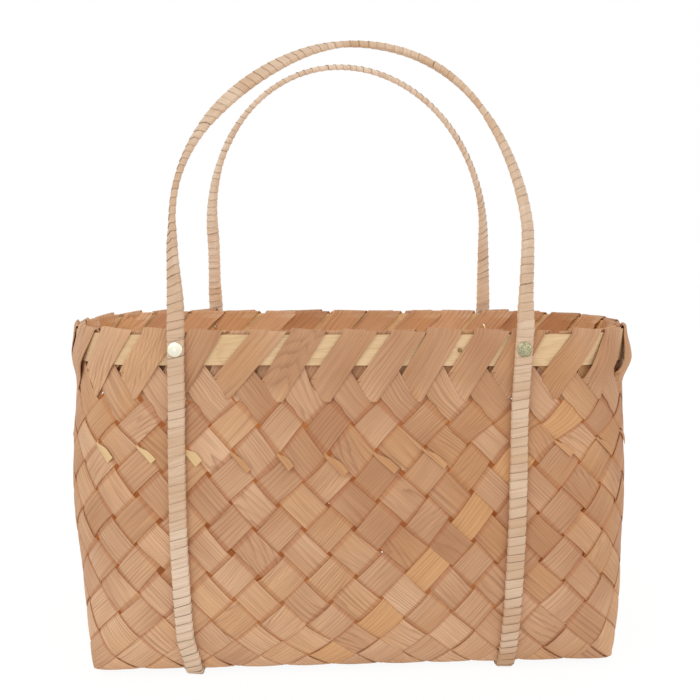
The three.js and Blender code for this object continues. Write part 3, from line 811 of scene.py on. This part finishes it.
# Tips: the ends folded inwards are threaded out again through the weave below the rim. Their thin tips
# lie on the face, pointing down to the right; some are pale, and two are torn and curl away. Each shape
# is a length in rows, half a width and a curl in millimetres, and whether its wood is pale.
TIP_START = 10.15
TIP_STATIONS = 12
TIP_SHAPES = {10: (0.85, 2.99, 0, True), 12: (0.75, 2.53, 0, True), 14: (0.7, 3.68, 0, True),
              16: (0.85, 2.3, 0, False), 18: (0.62, 2.76, 2.2, False), 20: (0.85, 2.99, 2.6, False),
              22: (0.95, 2.99, 0, False), 24: (1.0, 2.415, 0, False), 26: None, 28: None,
              30: (0.8, 2.53, 0.4, False), 32: (1.0, 2.3, 0.5, False)}
tip_wood = wood("tip_wood", (220, 168, 120), (196, 142, 96), (160, 108, 70),
                0.0005, 0.002, 0.4, 0.6)
pale_tip_wood = wood("pale_tip_wood", (238, 206, 156), (226, 190, 138), (196, 154, 104),
                     0.0005, 0.003, 0.3, 0.6)
for key in range(2, ROUND + 1, 2):
    shape = TIP_SHAPES.get(key, (luck.uniform(0.6, 1), luck.uniform(1.725, 2.76), 0, luck.random() < 0.3)
                           if luck.random() < 0.7 else None)
    if shape is None:
        continue
    length, half, curl, pale = shape
    rows = []
    for k in range(TIP_STATIONS + 1):
        part = k / TIP_STATIONS
        row = TIP_START - length * part
        left = -half / 1000
        right = mix(left * 0.4, -left, smooth((part - 0.05) / 0.6))
        out = mix(-0.0022, 0.0012, smooth(part / 0.22)) + curl / 1000 * smooth((part - 0.7) / 0.3)
        points = []
        for share in (0, 0.35, 0.7, 1):
            across = mix(left, right, share)
            aside = across / 0.0264
            place = drawn_point(row + aside, key - row + aside, out)
            points.append((place, 0, 0, part * length * 0.027, across))
        rows.append(points)
    seed = luck.uniform(1, 9)
    tip = grow(f"tip_{key // 2:02d}", sheet_mesh("tip", rows, seed, [0.3] * len(rows)), shaving,
               {"Seed": seed, "Wood": pale_tip_wood if pale else tip_wood, "Thickness": 0.0004,
                "Rise": 0.0})
    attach(tip, "basket")
    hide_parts("woven_body")


# Straps and handles: two flat laths run down the front, under the base and up the back, and two more rise
# from the same places as arches. A pale ribbon of splint is wound round each, every turn over the last.
STRAP_WIDTH = 0.014
STRAP_THICKNESS = 0.0055
STRAP_GAP = 0.0003
STRAP_OUT_AT_BAND = 0.0035
STRAP_SETTLED = 0.1958
BASE_INSET = 0.0035
STRAP_HALVES = {-1: ((0, 0.1280), (0.02, 0.1300), (0.036, 0.1334), (0.07, 0.1347), (0.1, 0.1359),
                     (0.19, 0.1395), (0.2738, 0.1397)),
                1: ((0, 0.1210), (0.036, 0.1218), (0.07, 0.1240), (0.17, 0.1320), (0.262, 0.1376),
                    (0.28, 0.1390))}
FLEX_Y = 0.09725
FLEX_Z = 0.2808
WINDING_SPLIT = 0.2712
SHOULDER_RISE = 0.078
CORE_WIDTH = 0.0122
CORE_THICKNESS = 0.0037
RIBBON_PITCH = 0.0070
RIBBON_WIDTH = 0.0079
RIBBON_TILT = -0.0006
STRAP_MIDDLE = RIM_DEPTH / 2 + STRAP_OUT_AT_BAND + STRAP_THICKNESS / 2


def between(knots, value):
    """The knots before and after a value, which each knot begins with, and its share of the way."""
    k = min(max(bisect.bisect(knots, (value,)), 1), len(knots) - 1)
    before, after = knots[k - 1], knots[k]
    return before, after, (value - before[0]) / max(after[0] - before[0], 1e-9)


def strap_half(side, z):
    """How far from the bag's middle a strap's middle runs at a height."""
    (_, first), (_, last), share = between(STRAP_HALVES[side], z)
    return mix(first, last, share)


def strap_path(side):
    """The middle line of a strap, from just under the front flex down, under the base and up the back."""
    half = []
    levels = [WINDING_SPLIT - BASE_Z - 0.0018 * k for k in range(160)]
    for height in [level for level in levels if level > BASE_INSET] + [BASE_INSET]:
        depth = outline_at(height)[1] / 2
        slope = (outline_at(height + 0.0005)[1] - outline_at(height)[1]) / 0.001
        lift = mix(STRAP_GAP, STRAP_OUT_AT_BAND, smooth((height + BASE_Z - STRAP_SETTLED) / 0.052))
        out = Vector((0, 1, -slope)).normalized()
        spot = Vector((0, depth, height + BASE_Z)) + out * (lift + STRAP_THICKNESS / 2)
        half.append(Vector((side * strap_half(side, height + BASE_Z), -spot.y, spot.z)))
    corner = Vector((side * strap_half(side, BASE_Z), BASE_INSET - BASE_DEPTH / 2, BASE_Z + BASE_INSET))
    reach = STRAP_GAP + STRAP_THICKNESS / 2 + BASE_INSET
    start = math.atan2(half[-1].z - corner.z, corner.y - half[-1].y)
    for k in range(1, 7):
        angle = mix(start, -math.pi / 2, k / 6)
        half.append(corner + Vector((0, -math.cos(angle), math.sin(angle))) * reach)
    half += [Vector((corner.x, corner.y * (1 - k / 40), corner.z - reach)) for k in range(1, 41)]
    return [settle(spot) for spot in half + [Vector((spot.x, -spot.y, spot.z)) for spot in half[-2::-1]]]


def handle_path(side, rise, lean, shoulders, drift):
    """The middle line of a handle, from its left leg over the arch to its right leg. Each shoulder has its
    own half width and its own two bends out of the ellipse, and the arch drifts sideways as it climbs."""
    up = Vector((0, math.sin(lean), math.cos(lean)))
    foot = Vector((0, -STRAP_MIDDLE, FLEX_Z))
    halves = []
    for hand, (arch_half, first_bend, second_bend) in zip((-1, 1), shoulders):
        half = [Vector((hand * strap_half(hand, z), -STRAP_MIDDLE, z))
                for z in (WINDING_SPLIT, 0.273, 0.275, 0.277, 0.279)]
        climbs = [(SHOULDER_RISE * k / 40, mix(strap_half(hand, FLEX_Z), arch_half, smooth(k / 40)))
                  for k in range(40)]
        for angle in [math.pi / 2 * k / 100 for k in range(101)]:
            climbs.append((mix(SHOULDER_RISE, rise, math.sin(angle)), arch_half * math.cos(angle)
                           + first_bend * math.sin(2 * angle) + second_bend * math.sin(4 * angle)))
        half += [foot + up * climb + Vector((hand * spread + drift * climb / rise, 0, 0))
                 for climb, spread in climbs]
        halves.append(half)
    path = halves[0] + halves[1][-2::-1]
    return [Vector((spot.x, side * spot.y, spot.z)) for spot in path]


def frames_along(path, normal=None, knots=()):
    """For each point of a path: how far along it lies, the place, the way of the strap's width and of its
    thickness. Knots are (distance, degrees) of twist out of the plane that the normal stands on."""
    reach = 0
    frames = []
    for k, spot in enumerate(path):
        reach += (spot - path[max(k - 1, 0)]).length
        ahead = (path[min(k + 1, len(path) - 1)] - path[max(k - 1, 0)]).normalized()
        width = (Vector((1, 0, 0)) - ahead * ahead.x).normalized()
        if normal:
            (_, first), (_, last), share = between(knots, reach)
            twist = math.radians(mix(first, last, share))
            width = ahead.cross(normal).normalized() * math.cos(twist) + normal * math.sin(twist)
        frames.append((reach, spot, width, ahead.cross(width).normalized()))
    return frames


def section(width, thickness, radius):
    """Points round a strap's cross-section, with the way outwards and the distance round."""
    ring = []
    w, t = width / 2 - radius, thickness / 2 - radius
    for cx, cy, start in ((w, -t, -90), (w, t, 0), (-w, t, 90), (-w, -t, 180)):
        for turn in (0, 30, 60, 90):
            angle = math.radians(start + turn)
            ring.append((cx + radius * math.cos(angle), cy + radius * math.sin(angle),
                         math.cos(angle), math.sin(angle)))
    full = []
    for a, b in zip(ring, ring[1:] + ring[:1]):
        full.append(a)
        if math.hypot(b[0] - a[0], b[1] - a[1]) > 0.004:
            full += [tuple(mix(p, q, part / 3) for p, q in zip(a, b)) for part in (1, 2)]
    around = [0]
    for a, b in zip(full, full[1:] + full[:1]):
        around.append(around[-1] + math.hypot(b[0] - a[0], b[1] - a[1]))
    return full, around


def core_loops(frames):
    """The loops of the flat lath inside a winding."""
    full, around = section(CORE_WIDTH, CORE_THICKNESS, 0.0012)
    return [([(spot + width * point[0] + thick * point[1], distance)
              for point, distance in zip(full, around)], reach)
            for reach, spot, width, thick in frames[::2] + frames[-1:]]


def winding_rows(frames, tones):
    """The rows of a ribbon wound round a strap: it climbs a little less than its own width each turn, so
    that each turn's hind edge lies on the turn before."""
    full, around = section(STRAP_WIDTH - 0.0007, STRAP_THICKNESS - 0.0010, 0.0017)
    length = frames[-1][0]
    rows, tints = [], []
    climb, travelled = -0.002, 0
    pitch, skew, turn_tone = RIBBON_PITCH, 0, 0
    while climb < length + 0.002:
        next_pitch = RIBBON_PITCH * luck.uniform(0.84, 1.16)
        next_skew = luck.uniform(-0.0007, 0.0007)
        next_tone = luck.uniform(-0.13, 0.13)
        for (x, y, nx, ny), distance in zip(full, around):
            share = distance / around[-1]
            middle = climb + mix(pitch, next_pitch, share) * share + mix(skew, next_skew, share)
            points = []
            for part in (-0.5, -0.2, 0.15, 0.5):
                before, after, way = between(frames, min(max(middle + part * RIBBON_WIDTH, 0), length))
                spot, width, thick = [a.lerp(b, way) for a, b in zip(before[1:], after[1:])]
                out = RIBBON_TILT * part
                place = spot + width * (x + nx * out) + thick * (y + ny * out)
                points.append((place, 0, 1, travelled + distance, part * RIBBON_WIDTH))
            rows.append(points)
            tone = tones[0.2 < middle / length < 0.6] + mix(turn_tone, next_tone, share)
            tints.append(min(max(tone, 0), 1))
        climb += (pitch + next_pitch) / 2
        travelled += around[-1]
        pitch, skew, turn_tone = next_pitch, next_skew, next_tone
    return rows, tints


ribbon_wood = wood("ribbon_wood", (244, 222, 198), (214, 178, 144), (188, 144, 108),
                   0.0005, 0.004, 0.22, 0.6, seam=RIBBON_WIDTH / 2)
core_wood = wood("core_wood", (220, 190, 150), (200, 165, 125), (170, 125, 90),
                 0.0007, 0.004, 0.2, 0.6)
FRONT_TWIST = [(0, 0), (10, 0), (28, 16), (47, 38), (62, 50), (77, 56), (93, 73), (109, 75), (125, 76),
               (141, 70), (158, 62), (176, 52), (190, 41), (204, 33), (225, 30), (245, 33), (260, 38),
               (276, 46), (294, 54), (316, 66), (350, 74), (405, 78), (446, 72), (466, 62), (494, 57),
               (528, 50), (566, 47), (590, 42), (613, 34), (630, 14), (641, 0), (680, 0)]
BACK_TWIST = [(0, 0), (10, 0), (36, 30), (66, 34), (86, 29), (106, 44), (126, 58), (144, 65), (160, 75),
              (186, 76), (217, 85), (310, 90), (430, 85), (458, 80), (490, 78), (518, 73), (538, 67),
              (560, 54), (582, 42), (610, 30), (640, 13), (653, 0), (680, 0)]
SHOULDERS = {"front": ((0.145, -0.0025, 0.0039), (0.1427, -0.001, -0.0023)),
             "back": ((0.1362, 0, 0), (0.1390, 0, 0))}
long_pieces = [("strap_left", frames_along(strap_path(-1)), (0.6, 0.1)),
               ("strap_right", frames_along(strap_path(1)), (0.6, 0.6))]
for key, side, rise, lean, drift, twists, tone in (("front", 1, 0.2348, 9.5, 0.0008, FRONT_TWIST, 0.6),
                                                   ("back", -1, 0.241, 13.5, -0.0105, BACK_TWIST, 0.15)):
    lean = math.radians(lean)
    path = handle_path(side, rise, lean, SHOULDERS[key], drift)
    normal = Vector((0, -math.cos(lean), side * math.sin(lean)))
    frames = frames_along(path, normal, [(distance / 1000, twist) for distance, twist in twists])
    long_pieces.append(("handle_" + key, frames, (tone, tone)))
for name, frames, tones in long_pieces:
    rows, tints = winding_rows(frames, tones)
    seed = luck.uniform(1, 9)
    ribbon = grow(name + "_winding", sheet_mesh(name + "_winding", rows, seed, tints), shaving,
                  {"Seed": seed, "Wood": ribbon_wood, "Rise": 0.0, "Crown": 0.0001, "Thickness": 0.00038,
                   "Unevenness": 0.0001, "Grain size": 90.0})
    core = add_object(name + "_core", bar_mesh(name + "_core", core_loops(frames), seed, 0.4), core_wood)
    for piece, finish in ((ribbon, "winding"), (core, "lath")):
        if name.startswith("strap"):
            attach(piece, "basket")
        else:
            y = FLEX_Y if name == "handle_back" else -FLEX_Y
            name[7:] + "_handle"
            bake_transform(piece)
        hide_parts(name)


# Nails: four brass ones hold the straps' four crossings of the rim, through strap, folds, bands and wall,
# with the point bent over inside. A little one pins the outer band's lap. One front head is polished
# bright and the other is dull and speckled with green.
def nail_mesh(name, place, outwards, head, dome, shank, through, bend):
    """A nail: a domed head on its outer side, a shank, and a point bent over by a bend's length."""
    up, across_bend = Vector((0, 0, 1)), Vector((0, 1, 0))
    profile = [(0, 1), (0.25, 0.97), (0.5, 0.84), (0.7, 0.64), (0.85, 0.42), (0.95, 0.22), (1, 0.08),
               (0.985, 0)]
    rings = [(share * head / 2, Vector((0, 0, height * dome)), up) for share, height in profile]
    rings += [(0.6 * head / 2, up * -0.00008, up), (shank / 2, up * -0.0001, up),
              (shank / 2, up * (shank - through), up)]
    steps = 8
    for k in range(1, steps + 1):
        angle = math.pi / 2 * k / steps
        spot = Vector((shank * (1 - math.cos(angle)), 0, shank - through - shank * math.sin(angle)))
        rings.append((shank / 2, spot, Vector((-math.sin(angle), 0, math.cos(angle)))))
    rings.append((shank * 0.42, Vector((bend * 0.7, 0, -through)), Vector((-1, 0, 0))))
    rings.append((shank * 0.1, Vector((bend, 0, -through + shank * 0.2)), Vector((-1, 0, 0))))
    aside = outwards.cross(Vector((0.5, 0, -1))).normalized()
    upright = aside.cross(outwards).normalized()
    sides = 40
    places = []
    for radius, spot, axis in rings:
        across = across_bend.cross(axis).normalized()
        for c in range(sides):
            angle = 2 * math.pi * c / sides
            local = spot + across * (radius * math.cos(angle)) + across_bend * (radius * math.sin(angle))
            places.append(place + upright * local.x + aside * local.y + outwards * local.z)
    mesh = bpy.data.meshes.new(name)
    mesh.from_pydata(places, [], tube_faces(sides, len(rings)))
    face_outwards(mesh).shade_smooth()
    return mesh


def brass(name, bright, dull, speckle, roughness):
    """Brass with a worn face: grains of a second colour where it has dulled."""
    paint, tree, (x, y, z) = new_paint(name, "ShaderNodeTexCoord", output="Object")
    grains = (x * 1500).noise(y * 1500 + 3, z * 1500, detail=3, rough=0.7)
    clouds = (x * 420).noise(y * 420, z * 420 + 7)
    patchy = (grains.ramp(0.42, 0.6) * (clouds.ramp(0.3, 0.6) * 0.7 + 0.3)) * speckle
    finish_paint(tree, grains, 0.0002,
                 {"Base Color": patchy.blend(tint(*bright), tint(*dull)), "Metallic": 1 - patchy * 0.55,
                  "Roughness": patchy * 0.35 + roughness})
    return paint


tarnished_brass = brass("tarnished_brass", (172, 140, 92), (112, 86, 52), 0.8, 0.5)
bright_brass = brass("bright_brass", (253, 250, 232), (236, 226, 190), 0.3, 0.34)
dull_brass = brass("dull_brass", (208, 200, 164), (108, 107, 76), 1.0, 0.45)
STRAP_FACE = STRAP_MIDDLE + STRAP_THICKNESS / 2 + 0.0003
NAIL_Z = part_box("woven_body")[1][2] - 0.012
RIM_NAIL = (0.012, 0.0013, 0.0018, 0.0156, 0.0055)
BAND_NAIL = (0.0036, 0.0006, 0.0011, 0.0066, 0.0026)
BAND_NAIL_X = 0.087
BAND_NAIL_Z = 0.2603
nails = [(f"nail_{key}", Vector((x * strap_half(x, NAIL_Z), y * STRAP_FACE, NAIL_Z)), y, RIM_NAIL, finish)
         for key, x, y, finish in (
             ("front_left", -1, -1, bright_brass), ("front_right", 1, -1, dull_brass),
             ("back_left", -1, 1, dull_brass), ("back_right", 1, 1, bright_brass))]
band_nail_place = wall_point(BAND_NAIL_Z - BASE_Z, LONG / 2 + BAND_NAIL_X / RIM_STEP,
                             BAND_DEPTH[OUT] + BAND_THICKNESS + LAP_STEP)
nails.append(("band_nail", band_nail_place, -1, BAND_NAIL, tarnished_brass))
for name, place, side, sizes, finish in nails:
    nail = add_object(name + "_brass", nail_mesh(name, place, Vector((0, side, 0)), *sizes), finish)
    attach(nail, "basket")
    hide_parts(name)
